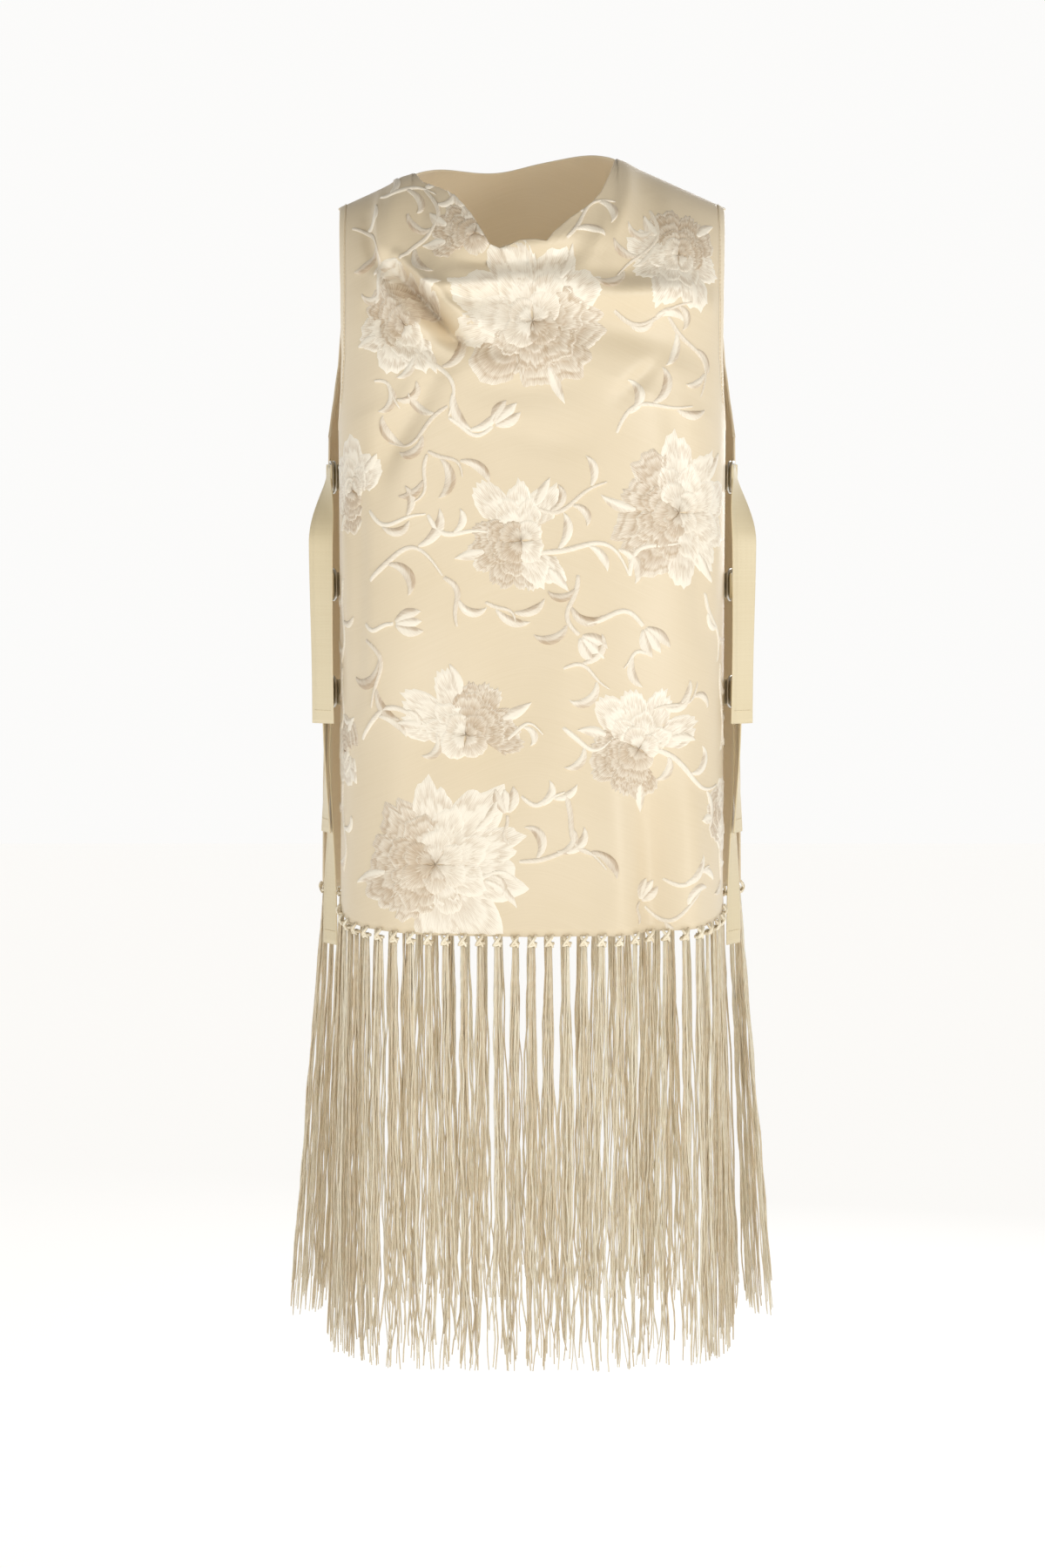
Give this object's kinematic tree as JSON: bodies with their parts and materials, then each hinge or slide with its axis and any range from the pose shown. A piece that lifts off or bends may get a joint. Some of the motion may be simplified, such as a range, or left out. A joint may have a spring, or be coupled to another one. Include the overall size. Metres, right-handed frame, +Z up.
{
  "type": "sleeveless fringed satin top",
  "caption": "Sleeveless cowl-neck satin top with embroidered panels, open sides closed by straps through double D-rings, and a long knotted fringe on both hems, in its worn form.",
  "frame": {"origin": "midway between the two shoulders, where the top hangs on the wearer", "axes": "+Z up, +X to the wearer's left (the viewer's right), the front of the top faces -Y"},
  "size_m": [0.3715, 0.2379, 0.8828],
  "materials": {
    "satin": "cream satin with ivory satin-stitch embroidery",
    "binding": "plain cream satin binding",
    "tape": "plain cream woven tape",
    "ring_metal": "dark silver wire",
    "fringe": "champagne yarn, glossy and crinkled"
  },
  "bodies": {
    "root": {"front_panel": "satin", "back_panel": "satin", "cowl_facing": "satin", "binding_front_left": "binding", "binding_back_left": "binding", "strap_left_1": "tape", "tab_left_1": "tape", "ring_left_1_inner": "ring_metal", "ring_left_1_outer": "ring_metal", "strap_left_2": "tape", "tab_left_2": "tape", "ring_left_2_inner": "ring_metal", "ring_left_2_outer": "ring_metal", "strap_left_3": "tape", "tab_left_3": "tape", "ring_left_3_inner": "ring_metal", "ring_left_3_outer": "ring_metal", "binding_front_right": "binding", "binding_back_right": "binding", "strap_right_1": "tape", "tab_right_1": "tape", "ring_right_1_inner": "ring_metal", "ring_right_1_outer": "ring_metal", "strap_right_2": "tape", "tab_right_2": "tape", "ring_right_2_inner": "ring_metal", "ring_right_2_outer": "ring_metal", "strap_right_3": "tape", "tab_right_3": "tape", "ring_right_3_inner": "ring_metal", "ring_right_3_outer": "ring_metal", "fringe_front": "fringe", "fringe_back": "fringe"}
  },
  "joints": []
}
